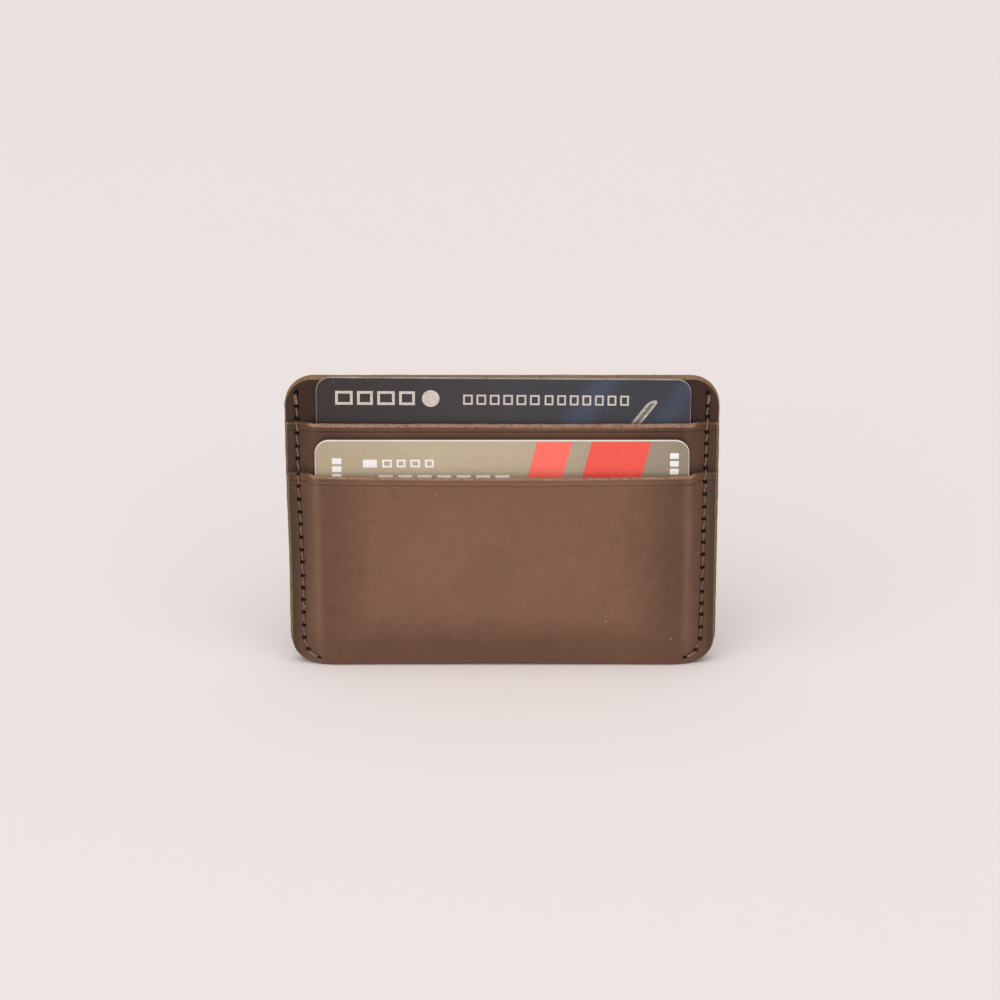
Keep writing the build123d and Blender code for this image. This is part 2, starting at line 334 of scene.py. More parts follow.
def oiled_leather():
    """Dark brown pull-up leather: mottled face, painted highlights on ridges, dark compressed seams that also
    carry painted shade, painted shade on the sides, bottom and recessed panels, tan cut edges.
    """
    f = Finish("oiled_leather")
    clouds = f.noise(55, 3.0, 0.6, 0.4)
    patches = f.noise(420, 3.0, 0.6)
    grain = f.noise(3600, 4.0, 0.65)
    browns = [(0.28, (0.155, 0.071, 0.041)), (0.5, (0.182, 0.087, 0.05)), (0.72, (0.2, 0.101, 0.058))]
    face = f.ramp(clouds, *browns)
    face = f.blend(f.between(patches, 0.3, 0.75, 0.0, 0.42), face, (0.228, 0.122, 0.073))
    face = f.blend(f.between(grain, 0.35, 0.75, 0.0, 0.34), face, (0.1, 0.046, 0.027))
    # Painted highlight: paler leather on the ridges, the card shoulders, the middle of the front and the
    # bend, plus a little wear on the back.
    face = f.blend(f.math("MULTIPLY", f.mark("highlight_and_wear"), 0.6), face, (0.34, 0.195, 0.125))
    # Painted shade: darker leather on the sides and bottom of the front, the back bend and the recessed
    # middle panel and divider, together with the compressed seam margins.
    face = f.blend(f.mark("shade_and_pressing"), face, (0.025, 0.0095, 0.005))
    face = f.blend(f.mark("oiled"), face, (0.06, 0.041, 0.021))
    specks = f.cells(330, output="Distance")
    chosen = f.add("ShaderNodeSeparateColor", {"Color": f.cells(330, output="Color")}).outputs[0]
    speck = f.math("MULTIPLY", f.between(specks, 0.05, 0.09, 1.0, 0.0), f.between(chosen, 0.9, 0.93))
    face = f.blend(f.math("MULTIPLY", speck, 0.55), face, (0.5, 0.38, 0.3))
    fibre = f.noise(5200, 4.0, 0.7, stretch=(1, 1, 0.35))
    tans = [(0.3, (0.13, 0.082, 0.034)), (0.5, (0.25, 0.165, 0.072)), (0.75, (0.42, 0.29, 0.15))]
    pinks = [(0.3, (0.25, 0.12, 0.08)), (0.5, (0.42, 0.225, 0.155)), (0.75, (0.6, 0.37, 0.27))]
    edge = f.blend(f.mark("mouth"), f.ramp(fibre, *tans), f.ramp(fibre, *pinks))
    edge = f.blend(f.mark("dull"), edge, (0.045, 0.021, 0.012))
    edge = f.blend(f.between(f.noise(1000, 4.0, 0.7), 0.44, 0.66, 0.0, 0.6), edge, (0.1, 0.052, 0.034))
    colour = f.blend(f.mark("cut"), face, edge)
    # Painted shade: the needle holes near black, as the shaded inside of a hole.
    colour = f.blend(f.mark("hole"), colour, (0.004, 0.003, 0.003))
    rough = f.between(patches, 0.3, 0.8, 0.40, 0.52)
    rough = f.math("ADD", rough, f.math("MULTIPLY", f.mark("cut"), 0.4))
    pores = f.cells(5200, feature="DISTANCE_TO_EDGE")
    normal = f.bump(f.noise(900, 2.0, 0.5), 0.25, 0.00006)
    normal = f.bump(f.between(pores, 0.0, 0.14), 0.28, 0.00004, normal)
    normal = f.bump(fibre, f.math("MULTIPLY", f.mark("cut"), 0.9), 0.00018, normal)
    return f.finish(colour=colour, rough=rough, normal=normal, specular=0.24, sheen=0.04, sheen_rough=0.45)


def waxed_thread():
    """Brown waxed thread, its pale streaks painted highlights."""
    f = Finish("waxed_thread")
    strands = f.noise(9000, 3.0, 0.6, stretch=(1, 1, 0.3))
    # The palest stop is a painted highlight.
    wax = [(0.32, (0.075, 0.034, 0.023)), (0.52, (0.19, 0.1, 0.067)), (0.7, (0.42, 0.27, 0.195))]
    colour = f.ramp(strands, *wax)
    # Painted shade: the thread near black where it dips into a hole.
    colour = f.blend(f.mark("sunk"), colour, (0.006, 0.004, 0.003))
    normal = f.bump(strands, 0.5, 0.00006)
    return f.finish(colour=colour, rough=0.5, normal=normal, sheen=0.2)


def loose_fibres():
    """Pinkish tan leather fibres that stand out of a cut mouth."""
    f = Finish("loose_fibres")
    tint = f.noise(1500, 2.0)
    colour = f.ramp(tint, (0.3, (0.34, 0.19, 0.135)), (0.7, (0.66, 0.45, 0.35)))
    return f.finish(colour=colour, rough=0.85, sheen=0.3)


def card_plastic(name, low, high, clouds, grain, relief, rough, coat):
    """A card's core or its plain printed back, slightly uneven in tone."""
    f = Finish(name)
    colour = f.ramp(f.noise(clouds, 3.0), (0.3, low), (0.7, high))
    normal = f.bump(f.noise(grain, 2.0), *relief)
    return f.finish(colour=colour, rough=rough, normal=normal, coat=coat, coat_rough=coat)


def core_plastic(name, low, high):
    return card_plastic(name, low, high, 500, 6000, (0.15, 0.00003), 0.38, 0.2)


def back_print(name, low, high):
    return card_plastic(name, low, high, 120, 5000, (0.1, 0.00002), 0.4, 0.25)


def navy_print():
    """Upper card: slate that turns navy to the right, with soft diagonal light bands and fine specks."""
    f = Finish("navy_print")
    across, up = f.across_and_up()
    slates = [(0.0, (0.037, 0.028, 0.026)), (0.5, (0.05, 0.047, 0.053)), (1.0, (0.042, 0.043, 0.056))]
    base = f.ramp(across, *slates)
    slant = f.math("ADD", across, f.math("MULTIPLY", up, -0.42))
    band = f.between(f.math("ABSOLUTE", f.math("SUBTRACT", slant, 0.355)), 0.0, 0.07, 1.0, 0.0)
    side = f.between(f.math("ABSOLUTE", f.math("SUBTRACT", slant, 0.585)), 0.0, 0.06, 0.8, 0.0)
    sky = f.math("MAXIMUM", band, side)
    colour = f.blend(f.math("MULTIPLY", sky, 0.6), base, (0.06, 0.085, 0.14))
    grain = f.noise(5000, 3.0, 0.7)
    colour = f.blend(f.between(grain, 0.5, 0.8, 0.0, 0.2), colour, (0.09, 0.085, 0.09))
    dust = f.between(f.cells(260), 0.03, 0.06, 1.0, 0.0)
    colour = f.blend(f.math("MULTIPLY", dust, 0.35), colour, (0.4, 0.36, 0.35))
    normal = f.bump(grain, 0.08, 0.00002)
    rough = f.between(grain, 0.3, 0.8, 0.42, 0.52)
    return f.finish(colour=colour, rough=rough, normal=normal, specular=0.22, coat=0.08, coat_rough=0.3)


def brushed_print():
    """Lower card: champagne metal look that greys to the right, finely brushed both ways."""
    f = Finish("brushed_print")
    golds = [(0.0, (0.47, 0.4, 0.275)), (0.3, (0.56, 0.475, 0.33)), (0.55, (0.55, 0.46, 0.32))]
    base = f.ramp(f.across_and_up()[0], *golds, (1.0, (0.31, 0.26, 0.195)))
    brushed = f.noise(5200, 3.0, 0.6, stretch=(0.04, 1, 1))
    crossed = f.noise(5200, 3.0, 0.6, stretch=(1, 1, 0.04))
    weave = f.math("MULTIPLY", f.math("ADD", brushed, crossed), 0.5)
    colour = f.blend(f.between(weave, 0.35, 0.65, 0.0, 0.16), base, (0.2, 0.165, 0.125), "MULTIPLY")
    colour = f.blend(f.between(weave, 0.5, 0.7, 0.0, 0.12), colour, (0.8, 0.74, 0.62))
    normal = f.bump(weave, 0.12, 0.00002)
    f.finish(colour=colour, rough=0.36, normal=normal, metal=0.2)
    return f.finish(specular=0.3, coat=0.12, coat_rough=0.25)


def ink(name, low, high, rough=0.35, metal=0.0):
    """Printed or foiled marks."""
    f = Finish(name)
    tone = f.noise(2600, 3.0, 0.6, stretch=(0.3, 1, 1))
    colour = f.ramp(tone, (0.35, low), (0.65, high))
    normal = f.bump(f.noise(5200, 2.0), 0.1, 0.00002)
    return f.finish(colour=colour, rough=rough, normal=normal, metal=metal)


def gold_contacts():
    """Gold plating with a soft wipe wear."""
    f = Finish("gold_contacts")
    wear = f.noise(5200, 4.0, 0.65, stretch=(1, 1, 0.5))
    colour = f.ramp(wear, (0.3, (0.8, 0.61, 0.3)), (0.7, (0.88, 0.71, 0.39)))
    colour = f.blend(f.mark("gap"), colour, (0.12, 0.09, 0.05))
    return f.finish(colour=colour, rough=f.between(wear, 0.3, 0.8, 0.22, 0.4), metal=1.0)


def magnetic_black():
    f = Finish("magnetic_black")
    wear = f.noise(3000, 3.0, stretch=(0.05, 1, 1))
    colour = f.ramp(wear, (0.35, (0.012, 0.012, 0.014)), (0.8, (0.05, 0.047, 0.045)))
    return f.finish(colour=colour, rough=f.between(wear, 0.3, 0.7, 0.3, 0.5))


def signing_paper():
    """The writable panel, with faint slanted security lines."""
    f = Finish("signing_paper")
    wave = {"Vector": f.at, "Scale": 520.0, "Distortion": 0.6}
    lines = f.add("ShaderNodeTexWave", wave, bands_direction="DIAGONAL").outputs["Fac"]
    colour = f.ramp(lines, (0.3, (0.8, 0.8, 0.78)), (0.7, (0.66, 0.69, 0.72)))
    return f.finish(colour=colour, rough=0.75)


def pale_ground():
    f = Finish("pale_ground")
    tone = f.noise(3.0, 2.0)
    colour = f.ramp(tone, (0.3, (0.875, 0.815, 0.805)), (0.7, (0.88, 0.82, 0.81)))
    return f.finish(colour=colour, rough=0.9, specular=0.1)


LEATHER = oiled_leather()
THREAD = waxed_thread()
FIBRES = loose_fibres()
WHITE_CORE = core_plastic("white_core", (0.8, 0.79, 0.77), (0.92, 0.91, 0.89))
GREY_CORE = core_plastic("grey_core", (0.2, 0.195, 0.19), (0.42, 0.41, 0.4))
NAVY = navy_print()
CHAMPAGNE = brushed_print()
GOLD = gold_contacts()
STRIPE = magnetic_black()
SIGNING = signing_paper()


# -------- the wallet's form


def side_fall(x, shoulder):
    """1 over the cards, falling smoothly to 0 from the shoulder to the foot at the seams."""
    return smooth((foot - np.abs(x)) / (foot - shoulder))


def corner_hold(x, z):
    """0 in the bottom corners, where the seams turn in and hold the leather flat, and 1 elsewhere."""
    return smooth((46.4 - (np.abs(x) - z)) / 9.0)


def front_rise(x, z):
    """How far the front pocket stands over the stack: more towards its mouth, flat over the card."""
    share = np.clip(z / front_mouth, 0, 1)
    rise = front_rise_low + (front_rise_edge - front_rise_low) * share
    crown = front_crown * share**1.6 + 0.14 * np.sin(share * math.pi)
    shoulder = 43.1 - 0.3 * share
    return (rise + crown * arch(x, foot)) * side_fall(x, shoulder) * corner_hold(x, z)


def middle_rise(x, z):
    """The middle panel: held down at the hidden floor seam, then lifted by the upper card."""
    lift = smooth((z - floor_seam) / (upper_floor - floor_seam)) * middle_rise_low
    slope = (middle_rise_high - middle_rise_low) / (middle_mouth - upper_floor)
    rise = lift + slope * np.maximum(z - upper_floor, 0)
    share = np.clip((z - upper_floor) / (middle_mouth - upper_floor), 0, 1)
    return rise * side_fall(x, 43.6 - 0.7 * share)


def divider_rise(x, z):
    """The divider: flat at the floor seam, and standing a little off the back at its mouth."""
    share = np.clip((z - floor_seam) / (height - floor_seam), 0, 1)
    return divider_rise_high * share * side_fall(x, 42.0)


def seam_route(side, samples=240):
    """Points (x, z) down one side seam: straight, drifting a little, then turning in at the bottom."""
    straight = seam_top - seam_end - seam_arc * math.sin(seam_sweep)
    length = straight + seam_arc * seam_sweep
    s = np.linspace(0, length, samples)
    turned = np.clip((s - straight) / seam_arc, 0, None)
    x = seam_x - seam_arc * (1 - np.cos(turned))
    z = seam_top - np.minimum(s, straight) - seam_arc * np.sin(turned)
    lean = {-1: 0.75, 1: 0.95}[side] * (s / length) ** 0.8
    drift = 0.45 - lean + 0.05 * np.sin(s / 7.0 + side)
    return s, side * (x + drift), z


def seam_holes(side):
    """(x, z) of the needle holes of one side seam, evenly pitched with a little unevenness."""
    count = seam_counts[side]
    s, x, z = seam_route(side)
    uneven = np.random.default_rng(20 + side).normal(0, 0.09, count)
    at = np.linspace(0, s[-1], count) + uneven
    return np.stack([np.interp(at, s, x), np.interp(at, s, z)], axis=-1)


HOLES = {side: seam_holes(side) for side in (-1, 1)}
ROUTES = {side: np.stack(seam_route(side)[1:], axis=-1) for side in (-1, 1)}


def nearest(x, z, points):
    """The distance from each (x, z) to the nearest of the points; far away inside the cards' width."""
    out = np.full(x.shape, 9.0)
    close = np.abs(x) > 39.0
    gap = np.stack([x[close], z[close]], axis=-1)[:, None, :] - points[None, :, :]
    out[close] = np.sqrt((gap**2).sum(-1).min(1))
    return out


def stitch_relief(x, z):
    """(relief, mark for the holes' painted shade) of the side seams: an indented groove, puckers and a real
    pit at each hole.
    """
    seam = nearest(x, z, np.concatenate([ROUTES[-1], ROUTES[1]]))
    pit = nearest(x, z, np.concatenate([HOLES[-1], HOLES[1]]))
    groove = -groove_depth * hill(seam, 0.5)
    pucker = -0.1 * hill(pit, 0.95)
    hole = smooth((hole_radius + 0.02 - pit) / 0.2)
    return groove + pucker - pit_depth * hole, smooth((hole_radius + 0.05 - pit) / 0.14)


def crease_relief(drop):
    """The creased line below a mouth, by distance below it: a narrow groove with a low ridge above."""
    groove = -groove_depth * hill(drop - crease_drop, 0.2)
    ridge = 0.09 * hill(drop - crease_drop + 0.45, 0.25)
    return groove + ridge


def closed_sheet(face, thickness, relief, rough_cut, flat_rows=None):
    """A sheet of leather from its outer face, as (points, faces, cut mark).

    face is a grid of points that ends one rim short of the cut edge. The inner face lies one thickness
    under it along its normals. Quarter rounds and a flat band join the two all round. relief moves the
    outer face along its normals, and rough_cut is how far the edge strays, one value a boundary point.
    The flat_rows, in the rounded top corners, face straight forward or back.
    """
    rows, cols = face.shape[:2]
    normal = unit(np.cross(np.gradient(face, axis=0), np.gradient(face, axis=1)))
    if flat_rows is not None:
        straight = np.sign(normal[..., 1:2].mean(axis=1, keepdims=True)) * (0.0, 1.0, 0.0)
        normal = np.where(flat_rows[:, :, None], straight, normal)
    outer = face + normal * relief[..., None]
    thickness = np.broadcast_to(thickness, face.shape[:2])
    inner = face - normal * thickness[..., None]
    loop = grid_border(rows, cols)
    edge = outer.reshape(-1, 3)[loop]
    thick = thickness.reshape(-1)[loop]
    up = normal.reshape(-1, 3)[loop]
    along = np.roll(edge, -1, axis=0) - np.roll(edge, 1, axis=0)
    out = unit(np.cross(up, along))
    quarter = np.linspace(0, math.pi / 2, 5)[1:]
    reach = np.concatenate([np.sin(quarter), np.sin(quarter)[::-1]]) * rim
    turned = rim * (1 - np.cos(quarter))[:, None]
    sink = np.concatenate([turned + 0 * thick, thick - turned[::-1]])
    stray = (reach / rim)[:, None] * rough_cut(edge, len(reach))
    rings = edge + (reach[:, None] + stray)[..., None] * out - sink[..., None] * up
    count = len(loop)
    first = 2 * rows * cols
    between = first + np.arange(rings.shape[0] * count).reshape(-1, count)
    index = np.concatenate([loop[None], between, loop[None] + rows * cols])
    a, b = index[:-1], index[1:]
    band = np.stack([a, np.roll(a, -1, axis=1), np.roll(b, -1, axis=1), b], axis=-1).reshape(-1, 4)
    points = np.concatenate([outer.reshape(-1, 3), inner.reshape(-1, 3), rings.reshape(-1, 3)])
    faces = np.concatenate([both_faces(rows, cols), band])
    cut = np.zeros(len(points))
    cut[rows * cols : first] = 0.55
    cut[first:] = np.repeat(smooth(reach / rim * 1.3), count)
    return points, faces, cut


def rough_edge(amount):
    """A cut edge's small unevenness, as a function of the edge points and the number of rings."""

    def stray(edge, rings):
        x, z = edge[:, 0], edge[:, 2]
        slow = ripple(x * 2.1, z * 2.1, 5, 9.0)
        fine = np.random.default_rng(11).normal(0, 1, (rings, len(edge)))
        fine = (fine + np.roll(fine, 1, axis=1)) / 2
        return amount * (slow[None, :] + 0.55 * fine)

    return stray


def column_places(half):
    """Shares of the half width, from -1 to 1, close together over the seams and the edges."""
    right = graded((0, 38, 2.4), (38, 44.2, 0.45), (44.2, 47.7, 0.21), (47.7, half - rim, 0.4))
    places = right / (half - rim)
    return np.concatenate([-places[:0:-1], places])


def outline_half(half, z, round_top=True):
    """Half the width of the wallet's outline at a height, one rim inside the cut edge.

    It is the full half width, or half - corner + sqrt((corner - rim)^2 - off^2) beside a round corner,
    where off is how far the height is past the corner's centre.
    """
    above = np.clip(z - (height - corner), 0, None) if round_top else 0 * z
    off = np.maximum(np.clip(corner - z, 0, None), above)
    rounded = half - corner + np.sqrt(np.clip((corner - rim) ** 2 - off**2, 0, None))
    return np.where(off > 0, rounded, half - rim)


def top_corner_rows(steps=18):
    """Heights down the rounded top corner, even in angle."""
    turn = np.linspace(math.pi / 2, 0, steps)
    return height - corner + (corner - rim) * np.sin(turn)


def painted_highlights(x, z, rise):
    """Painted highlights, paler leather: on the shoulders over the card's edges and in the middle."""
    shoulder = hill(np.abs(x) - 42.7, 0.8)
    middle = 0.3 * np.exp(-((x / 34) ** 4) - ((z - 26) / 19) ** 4)
    return np.clip(0.3 * shoulder * np.clip(rise, 0, 1) + middle, 0, 1)


def shading_and_pressing(x, z):
    """Darker leather: the seam margins, compressed and also painted shade, and painted shade at the foot of
    the bulge and towards the bottom.
    """
    out = np.abs(x)
    margin = 0.42 * smooth((out - 43.6) / 2.6) + 0.22 * smooth((out - 46.8) / 1.5)
    # Painted shade: the sides of the panel darker, a little more on the right.
    side = (0.3 + 0.05 * (x > 0)) * smooth((out - 27) / 13) * (1 - 0.45 * smooth((out - 41) / 1.5))
    # Painted shade: darker towards the bottom.
    bottom = 0.3 * smooth((14 - z) / 9)
    return np.clip(np.maximum(margin, np.maximum(side, bottom)), 0, 1)


def oiling(x):
    """Where the oil has gathered dark olive: the outermost strip beside the cut edges."""
    return 0.7 * smooth((np.abs(x) - 47.2) / 1.2)


def top_tone(points):
    """How far the raw edge along the top turns from olive to pinkish tan, patch by patch."""
    x, y, z = points.T
    patches = 0.3 + 0.5 * ripple(x, y, 61, 14.0)
    return np.clip(patches, 0, 1) * smooth((z - height + 2.5) / 2) * smooth((47.2 - np.abs(x)) / 2)


def dulled(points, at_mouth):
    """How far the raw edge of a mouth is darkened: fully in the margins outside the seams."""
    x = np.abs(points[:, 0])
    return 0.85 * at_mouth * smooth((x - 43.4) / 1.6) * smooth((49.3 - x) / 0.4)


def frayed(x, drop, seed):
    """How far the raw edge of a mouth runs over onto the face, by distance below it: more in places."""
    reach = 0.16 + 0.2 * (0.5 + ripple(x, 0 * x, seed, 16.0)) + 0.06 * ripple(x, 0 * x, seed + 1, 1.7)
    return 0.85 * smooth((reach + 0.12 - drop) / 0.2) * smooth((45.5 - np.abs(x)) / 2)


def creased(x, drop, seed):
    """A painted highlight on the ridge beside a mouth's creased line, stronger in places."""
    highlight_strength = 0.55 + 0.45 * ripple(x, drop, seed, 11.0)
    return highlight_strength * hill(drop - crease_drop + 0.42, 0.2)


def put_leather(node, points, faces, cut, face_marks, edge_marks):
    """A panel of leather. Its outer face's marks are zero elsewhere; its edge's are given for all points."""
    marks = {"cut": cut}
    for key, values in face_marks.items():
        full = marks.get(key, np.zeros(len(points)))
        full[: values.size] = values.ravel()
        marks[key] = full
    marks.update(edge_marks)
    name = f"{node}_leather"
    return put_piece(name, "wallet", [node], points, faces.tolist(), LEATHER, marks)


def wrap_profile():
    """Rows of the outer wrap from the front mouth, down, round the fold and up the back.

    Each row has a part and a value. Part 0 is the front, 1 the front bend, 2 the flat it stands on, 3 the
    back bend and 4 the back. The value is the height, or the share of the bend or flat that is passed.
    """
    front = graded((front_mouth - rim, front_mouth - 3.2, 0.11), (front_mouth - 3.2, front_bend, 0.26))
    bend = np.linspace(0, 1, 11)[1:]
    flat = np.linspace(0, 1, 5)[1:]
    back = np.concatenate([graded((back_bend, height - corner, 0.31)), top_corner_rows()[::-1][1:]])[1:]
    values = [front, bend, flat, bend, back]
    part = np.repeat(np.arange(len(values)), [len(v) for v in values])
    return part[:, None], np.concatenate(values)[:, None]


def outer_wrap_piece():
    """The wrap's outer face: the profile (depth, height) of its fold, carried across the width."""
    part, value = wrap_profile()
    turn = value * math.pi / 2
    z = np.select(
        [part == 0, part == 1, part == 2, part == 3],
        [value, front_bend * (1 - np.sin(turn)), 0 * value, back_bend * (1 - np.cos(turn))],
        value,
    )
    widen = np.select([part < 2, part == 2], [0.0, value], 1.0)
    half = front_half + (back_half - front_half) * widen
    half_here = np.where(part >= 4, outline_half(half, z), outline_half(half, z, round_top=False))
    x = column_places(front_half)[None, :] * half_here
    mouth_drop = front_mouth - z
    z_sag = np.where(part == 0, 0.15 * arch(x, foot) * np.exp(-mouth_drop / 4.0), 0)
    stand = 4 * leather + front_rise(x, np.maximum(z, front_bend))
    depth = np.select(
        [part == 0, part == 1, part == 2, part == 3],
        [
            4 * leather + front_rise(x, z),
            stand - front_bend * (1 - np.cos(turn)),
            (stand - front_bend) * (1 - value) + back_bend * value,
            back_bend * (1 - np.sin(turn)),
        ],
        0 * x,
    )
    zz = z + 0 * x
    bow = fold_bow * arch(x, 42.5) * smooth((9 - zz) / 9)
    face = in_space(leaned(x, zz), depth, zz - z_sag + bow)
    in_front = (part == 0) + 0 * x
    at_back = (part == 4) + 0 * x
    stitches, hole = stitch_relief(x, zz)
    away = smooth((zz - 1.5) / 3)
    edge_of_card = 0.1 * hill(np.abs(x) - card_edge, 0.5) * smooth((zz - 3) / 3)
    uneven = 0.1 * ripple(x, zz, 3, 26.0) * away
    relief = in_front * (stitches + crease_relief(mouth_drop + 0 * x) + edge_of_card + uneven)
    relief = relief + at_back * (stitches * (zz < height - 1) + 0.04 * ripple(x, zz, 4, 30.0))
    in_corners = (part == 4) & (z > height - corner)
    points, faces, cut = closed_sheet(face, leather - bow, relief, rough_edge(0.05), in_corners)
    points[:, 2] = np.maximum(points[:, 2], 0)
    rise = np.clip(front_rise(x, zz), 0, 1)
    worn_back = 0.2 * hill(x, 34) * hill(zz - 36, 24)
    # Painted highlights on the front's shoulders, middle and crease ridge.
    highlight_and_wear = in_front * np.maximum(painted_highlights(x, zz, rise), 0.8 * creased(x, mouth_drop, 41))
    # A paler worn patch on the back, and a painted highlight along the front bend's rim.
    highlight_and_wear = highlight_and_wear + at_back * worn_back + (part == 1) * 0.35 * np.sin(value * math.pi)
    # Painted shade on the front, its bend and the stand, darker at the sides and bottom, and on the back
    # bend; the back's seam margins are compressed darker.
    shade_and_pressing = (part <= 2) * shading_and_pressing(x, zz) + (part == 3) * 0.22
    shade_and_pressing = shade_and_pressing + at_back * 0.45 * smooth((np.abs(x) - 43.5) / 3)
    face_marks = {
        "hole": hole * (in_front + at_back),
        "highlight_and_wear": highlight_and_wear,
        "shade_and_pressing": shade_and_pressing,
        "cut": in_front * frayed(x, mouth_drop, 51),
        "oiled": (part <= 2) * oiling(x),
    }
    at_mouth = smooth((points[:, 2] - front_mouth + 0.9) / 0.5) * (points[:, 1] < back_y - 2.5 * leather)
    mouth = np.maximum(0.8 * at_mouth, top_tone(points))
    edge_marks = {"mouth": mouth, "dull": dulled(points, at_mouth)}
    return put_leather("outer_wrap", points, faces, cut, face_marks, edge_marks)


def middle_pocket_piece():
    """The middle panel: its rise over the stack as a height over (across, up)."""
    z = graded(
        (middle_mouth - rim, middle_mouth - 3.2, 0.11),
        (middle_mouth - 3.2, front_mouth - 1.5, 0.26),
        (front_mouth - 1.5, panel_floor + rim, 1.5),
    )[:, None]
    x = column_places(middle_half)[None, :] * outline_half(middle_half, z, round_top=False)
    zz = z + 0 * x
    sag = 0.12 * arch(x, foot) * np.exp(-(middle_mouth - zz) / 3.0)
    face = in_space(leaned(x, zz), 3 * leather + middle_rise(x, zz), zz - sag)
    stitches, hole = stitch_relief(x, zz)
    visible = smooth((zz - front_mouth + 1.0) / 1.0)
    relief = stitches * visible + crease_relief(middle_mouth - zz) + 0.07 * ripple(x, zz, 8, 22.0) * visible
    points, faces, cut = closed_sheet(face, leather, relief, rough_edge(0.07))
    drop = middle_mouth - rim - zz
    # Painted highlights on the shoulders, middle and crease ridge.
    highlight_and_wear = 0.35 * painted_highlights(x, zz, np.clip(middle_rise(x, zz), 0, 1))
    # Painted shade: the recessed middle panel darker all over, most just above the front mouth, on top of the
    # compressed, shaded seam margins.
    shade_and_pressing = 1 - (1 - shading_and_pressing(x, zz + 20)) * (0.56 - 0.2 * smooth((front_mouth + 3.0 - zz) / 3.0))
    face_marks = {
        "hole": hole * visible,
        "highlight_and_wear": np.maximum(highlight_and_wear, 0.45 * creased(x, drop + rim, 42)),
        "shade_and_pressing": shade_and_pressing,
        "cut": frayed(x, drop - 0.2 * smooth((x + 6) / 16) * smooth((38 - x) / 8), 52),
        "oiled": oiling(x),
    }
    at_mouth = smooth((points[:, 2] - middle_mouth + 0.9) / 0.5)
    edge_marks = {"mouth": at_mouth, "dull": dulled(points, at_mouth)}
    return put_leather("middle_pocket", points, faces, cut, face_marks, edge_marks)


def divider_piece():
    """The divider: a flat panel with rounded top corners that leans slightly forward at its mouth."""
    hidden = middle_mouth - 1.5
    below = graded((height - corner, hidden, 0.26), (hidden, panel_floor + rim, 1.8))
    z = np.concatenate([top_corner_rows(), below[1:]])[:, None]
    x = column_places(back_half)[None, :] * outline_half(back_half, z)
    zz = z + 0 * x
    face = in_space(leaned(x, zz), 2 * leather + divider_rise(x, zz), zz)
    stitches, hole = stitch_relief(x, zz)
    visible = smooth((zz - middle_mouth + 1.0) / 1.0)
    relief = stitches * visible + 0.04 * ripple(x, zz, 9, 24.0)
    points, faces, cut = closed_sheet(face, leather - 0.02, relief, rough_edge(0.06), z > height - corner)
    # Painted shade: the recessed divider darkened almost fully.
    face_marks = {"hole": hole * visible, "shade_and_pressing": 0.91 + 0 * x, "oiled": 0.5 * oiling(x)}
    return put_leather("divider", points, faces, cut, face_marks, {"mouth": top_tone(points)})


# -------- thread and fibres


def stack_front(x, z):
    """The depth of the leather's front at the seams, stepping down just above each mouth."""
    over_lip = 0.3
    front = smooth((front_mouth + over_lip - z) / over_lip)
    middle = smooth((middle_mouth + over_lip - z) / over_lip)
    return leather * (2 + middle + front) + front * front_rise(x, z)


def flat_back(x, z):
    """The depth of the flat back."""
    return 0 * z


def strand_path(holes, surface, way, slant, proud, samples=30):
    """A thread's line through a list of holes: down each hole, up and over the leather between.

    way is 1 for the front and -1 for the back, and proud is how far each stitch is lifted.
    """
    a, b = holes[:-1, None, :], holes[1:, None, :]
    t = np.linspace(0, 1, samples, endpoint=False)[None, :, None]
    flat = a + (b - a) * t
    along = unit(b - a)
    across = np.stack([along[..., 1], -along[..., 0]], axis=-1)
    flat = (flat + across * slant * (t - 0.5)).reshape(-1, 2)
    near = np.minimum(t, 1 - t) * np.linalg.norm(b - a, axis=-1, keepdims=True)
    lift = proud[:, None, None] - 0.06 - thread_dip * (1 - smooth((near - 0.34) / 0.34))
    lift = lift.reshape(-1)
    side = np.broadcast_to(across, (*a.shape[:1], samples, 2)).reshape(-1, 2)
    x, z = flat[:, 0], flat[:, 1]
    depth = surface(x, z) + way * lift
    return in_space(leaned(x, z), depth, z), in_space(side[:, 0], back_y, side[:, 1]), lift


def rope(path, side):
    """A three-stranded rope along a path: rings of radius r * (1 + h cos(3 a - 2 pi s / turn)).

    a is the angle round the ring, s the length passed, h the lobes' height and turn their pitch.
    """
    along = unit(np.gradient(path, axis=0))
    side = unit(side - (side * along).sum(-1, keepdims=True) * along)
    up = np.cross(side, along)
    gone = np.concatenate([[0], np.cumsum(np.linalg.norm(np.diff(path, axis=0), axis=1))])[:, None]
    angle = np.linspace(0, 2 * math.pi, rope_sides, endpoint=False)[None, :]
    lobes = lobe_height * np.cos(3 * angle - gone * 2 * math.pi / lobe_turn)
    size = (thread_radius * (1 + lobes))[..., None]
    ring = np.cos(angle)[..., None] * side[:, None] + np.sin(angle)[..., None] * up[:, None]
    points = (path[:, None] + size * ring).reshape(-1, 3)
    return points, tube_faces(points, len(path), rope_sides)


def thread_piece(name, holes, surface, way, slant, doubled=0):
    """One thread through a list of holes, with the parts that dip into them marked as sunk, to be painted
    dark as shade.
    """
    proud = np.zeros(len(holes) - 1)
    if doubled:
        proud[:doubled] = proud[-doubled:] = 0.13 if way > 0 else 0.05
    path, across, lift = strand_path(holes, surface, way, slant, proud)
    points, faces = rope(path, across)
    marks = {"sunk": np.repeat(smooth((-0.28 - lift) / 0.3), rope_sides)}
    return put_piece(f"{name}_stitches", "wallet", [name], points, faces, THREAD, marks)


